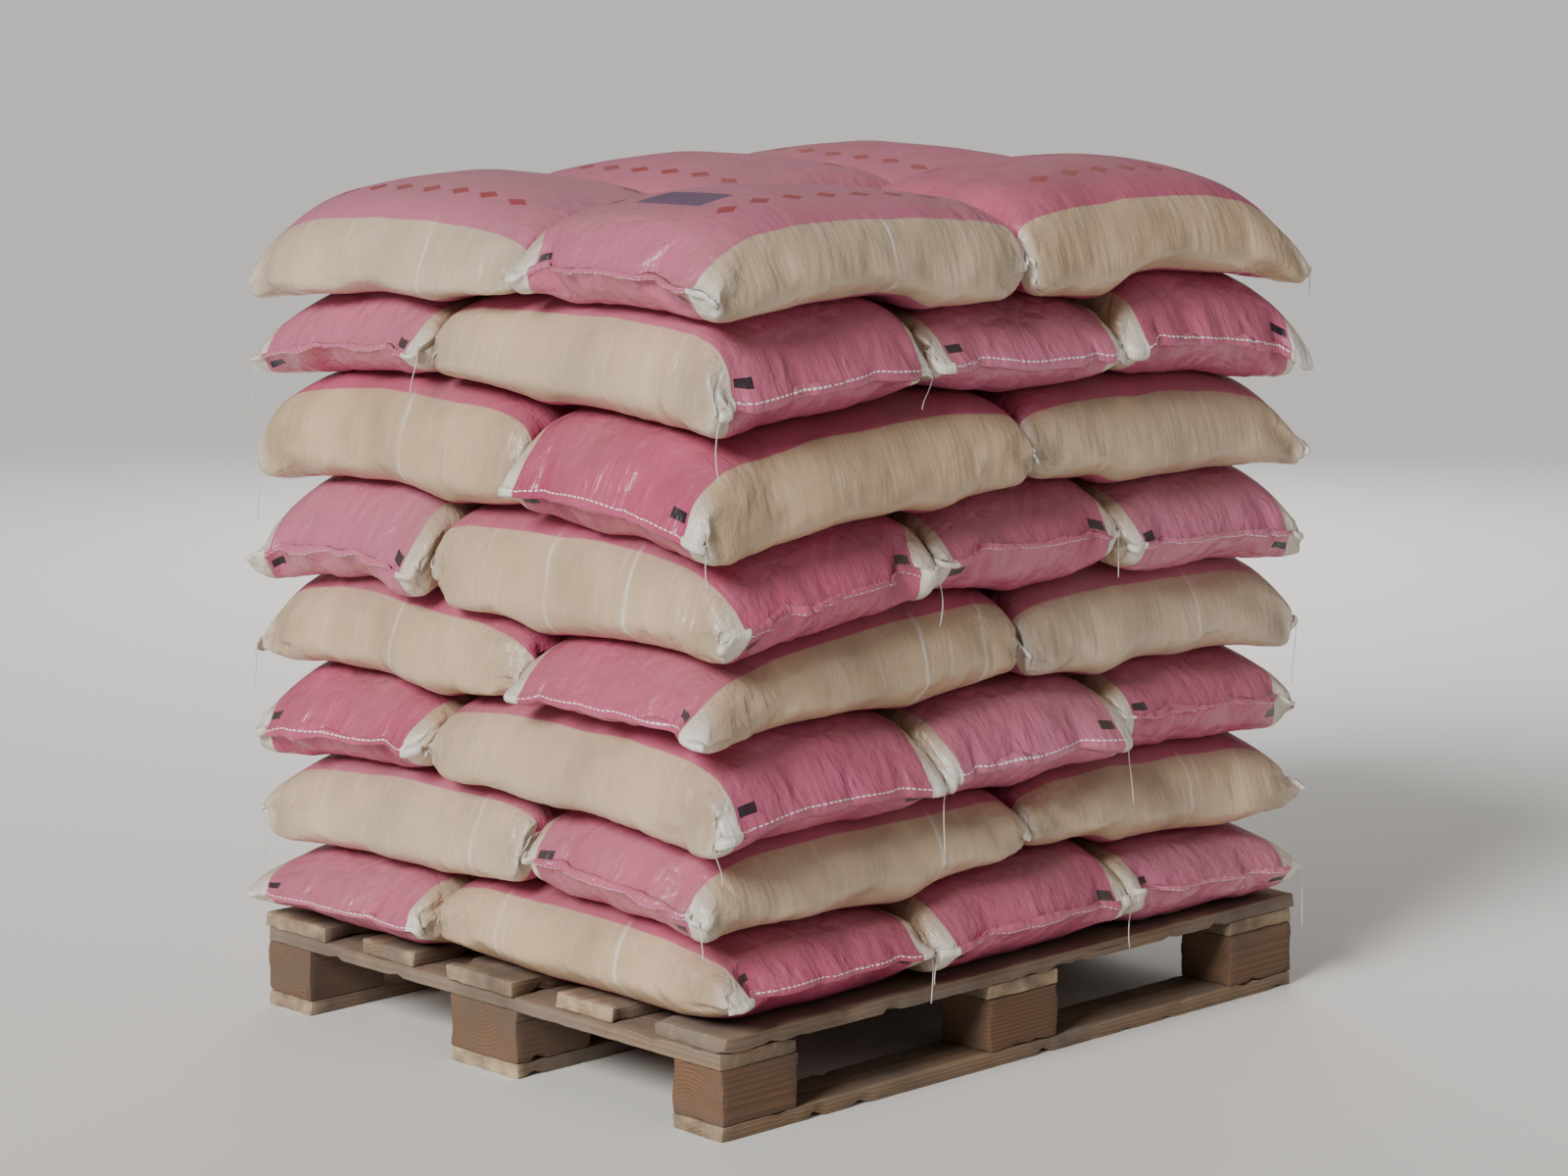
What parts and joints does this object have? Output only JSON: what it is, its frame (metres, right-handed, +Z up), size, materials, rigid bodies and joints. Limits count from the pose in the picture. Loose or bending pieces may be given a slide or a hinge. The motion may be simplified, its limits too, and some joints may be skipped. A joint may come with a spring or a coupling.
{
  "type": "pallet of sacks",
  "caption": "Wooden block pallet with a crossed stack of filled woven plastic sacks, lifted by forks under its deck.",
  "frame": {"origin": "on the floor, under the middle of the pallet", "axes": "+X along the pallet's 1200 mm side, +Y along its 1000 mm side from front to back, +Z up"},
  "size_m": [1.2222, 1.0199, 1.2776],
  "materials": {
    "woven_sack": "laminated woven polypropylene, pink print on the faces and ends, cream on the long sides",
    "deck_wood": "rough sawn softwood boards, greyed and dusty",
    "block_wood": "rough sawn softwood blocks, greyed and dusty"
  },
  "bodies": {
    "root": {"bottom_board_front": "deck_wood", "bottom_board_middle": "deck_wood", "bottom_board_back": "deck_wood", "block_front_left": "block_wood", "block_front_middle": "block_wood", "block_front_right": "block_wood", "block_middle_left": "block_wood", "block_middle_middle": "block_wood", "block_middle_right": "block_wood", "block_back_left": "block_wood", "block_back_middle": "block_wood", "block_back_right": "block_wood", "cross_board_left": "deck_wood", "cross_board_middle": "deck_wood", "cross_board_right": "deck_wood", "deck_board_1": "deck_wood", "deck_board_2": "deck_wood", "deck_board_3": "deck_wood", "deck_board_4": "deck_wood", "deck_board_5": "deck_wood", "sack_1_front_left": "woven_sack", "sack_1_front_middle": "woven_sack", "sack_1_front_right": "woven_sack", "sack_1_back_left": "woven_sack", "sack_1_back_right": "woven_sack", "sack_2_back_left": "woven_sack", "sack_2_back_middle": "woven_sack", "sack_2_back_right": "woven_sack", "sack_2_front_left": "woven_sack", "sack_2_front_right": "woven_sack", "sack_3_front_left": "woven_sack", "sack_3_front_middle": "woven_sack", "sack_3_front_right": "woven_sack", "sack_3_back_left": "woven_sack", "sack_3_back_right": "woven_sack", "sack_4_back_left": "woven_sack", "sack_4_back_middle": "woven_sack", "sack_4_back_right": "woven_sack", "sack_4_front_left": "woven_sack", "sack_4_front_right": "woven_sack", "sack_5_front_left": "woven_sack", "sack_5_front_middle": "woven_sack", "sack_5_front_right": "woven_sack", "sack_5_back_left": "woven_sack", "sack_5_back_right": "woven_sack", "sack_6_back_left": "woven_sack", "sack_6_back_middle": "woven_sack", "sack_6_back_right": "woven_sack", "sack_6_front_left": "woven_sack", "sack_6_front_right": "woven_sack", "sack_7_front_left": "woven_sack", "sack_7_front_middle": "woven_sack", "sack_7_front_right": "woven_sack", "sack_7_back_left": "woven_sack", "sack_7_back_right": "woven_sack", "sack_8_back_left": "woven_sack", "sack_8_back_middle": "woven_sack", "sack_8_back_right": "woven_sack", "sack_8_front_left": "woven_sack", "sack_8_front_right": "woven_sack"}
  },
  "joints": []
}
